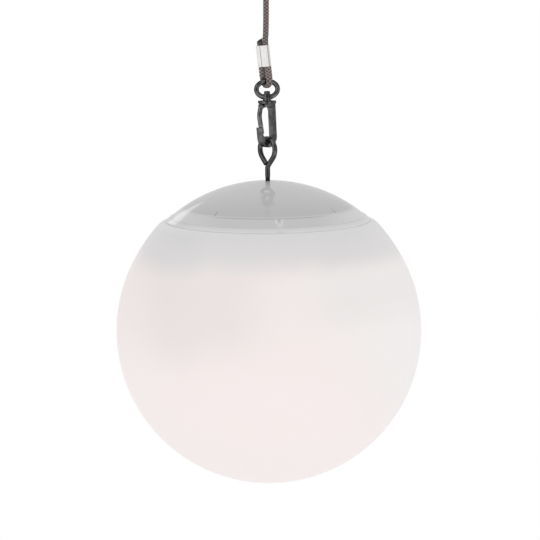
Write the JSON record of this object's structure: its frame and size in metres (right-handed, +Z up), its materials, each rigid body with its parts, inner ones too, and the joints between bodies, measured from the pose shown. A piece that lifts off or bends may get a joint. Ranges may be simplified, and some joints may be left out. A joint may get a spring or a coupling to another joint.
{
  "type": "solar hanging light",
  "caption": "Hanging solar light: a frosted globe under a glossy domed cap, on an eye bolt, a swivel snap hook and a braided cord with crimped loops.",
  "frame": {"origin": "inside top of the cord's upper loop, where the light hangs", "axes": "+Z up; the hook lies in the XZ plane with its gate on -X, the eye in the YZ plane"},
  "size_m": [0.2, 0.2, 0.3841],
  "materials": {
    "cord_braid": "braided",
    "sleeve_metal": "bright",
    "hook_metal": "dark gunmetal",
    "eye_metal": "dark polished",
    "dome_plastic": "glossy translucent grey",
    "globe_plastic": "frosted",
    "seal_rubber": "matte",
    "pad_foam": "matte",
    "module_plastic": "matte",
    "steel": "plated",
    "panel_cells": "coated",
    "board_laminate": "solder mask",
    "led_resin": "clear coat",
    "lens_plastic": "clear",
    "switch_plastic": "matte",
    "battery_sleeve": "satin",
    "lead_insulation": "matte"
  },
  "bodies": {
    "cord": {"hanging_cord": "cord_braid", "lower_ferrule": "sleeve_metal", "upper_ferrule": "sleeve_metal"},
    "swivel_ring": {"swivel_ring": "hook_metal"},
    "snap_hook": {"hook_body": "hook_metal", "swivel_rivet": "hook_metal", "gate_pin": "steel", "gate_spring": "steel"},
    "gate": {"hook_gate": "hook_metal"},
    "lamp": {"eye_bolt": "eye_metal", "seal_washer": "seal_rubber", "eye_washer": "steel", "eye_nut": "steel", "cap_dome": "dome_plastic", "neck_gasket": "seal_rubber", "module_base": "module_plastic", "cap_screws": "steel", "panel_pad": "pad_foam", "solar_panel": "panel_cells", "lower_cover": "module_plastic", "cover_screws": "steel", "circuit_board": "board_laminate", "board_screws": "steel", "led": "led_resin", "led_lens": "lens_plastic", "switch_body": "switch_plastic", "battery": "battery_sleeve", "battery_contacts": "steel", "battery_door": "module_plastic", "door_screw": "steel", "panel_leads": "lead_insulation", "battery_leads": "lead_insulation"},
    "globe": {"globe": "globe_plastic"},
    "switch": {"switch_slider": "switch_plastic"}
  },
  "joints": [
    {"name": "ring_swing", "type": "hinge", "parent": "cord", "child": "swivel_ring", "pos_m": [0, 0, -0.1159], "axis": [0.866, -0.5, 0], "range_deg": [-60, 60]},
    {"name": "swivel", "type": "hinge", "parent": "swivel_ring", "child": "snap_hook", "pos_m": [0, 0, -0.1259], "axis": [0, 0, 1], "continuous": true},
    {"name": "gate_open", "type": "hinge", "parent": "snap_hook", "child": "gate", "pos_m": [-0.0036, 0, -0.13175], "axis": [0, -1, 0], "range_deg": [0, 20], "stiffness_Nm_per_rad": 0.03, "springref_deg": -11.46},
    {"name": "lamp_swing", "type": "hinge", "parent": "snap_hook", "child": "lamp", "pos_m": [0, 0, -0.15355], "axis": [0, 1, 0], "range_deg": [-60, 60]},
    {"name": "globe_twist", "type": "hinge", "parent": "lamp", "child": "globe", "pos_m": [0, 0, -0.28005], "axis": [0, 0, 1], "range_deg": [0, 35]},
    {"name": "switch_slide", "type": "slide", "parent": "lamp", "child": "switch", "axis": [1, 0, 0], "range_m": [0, 0.003]}
  ]
}
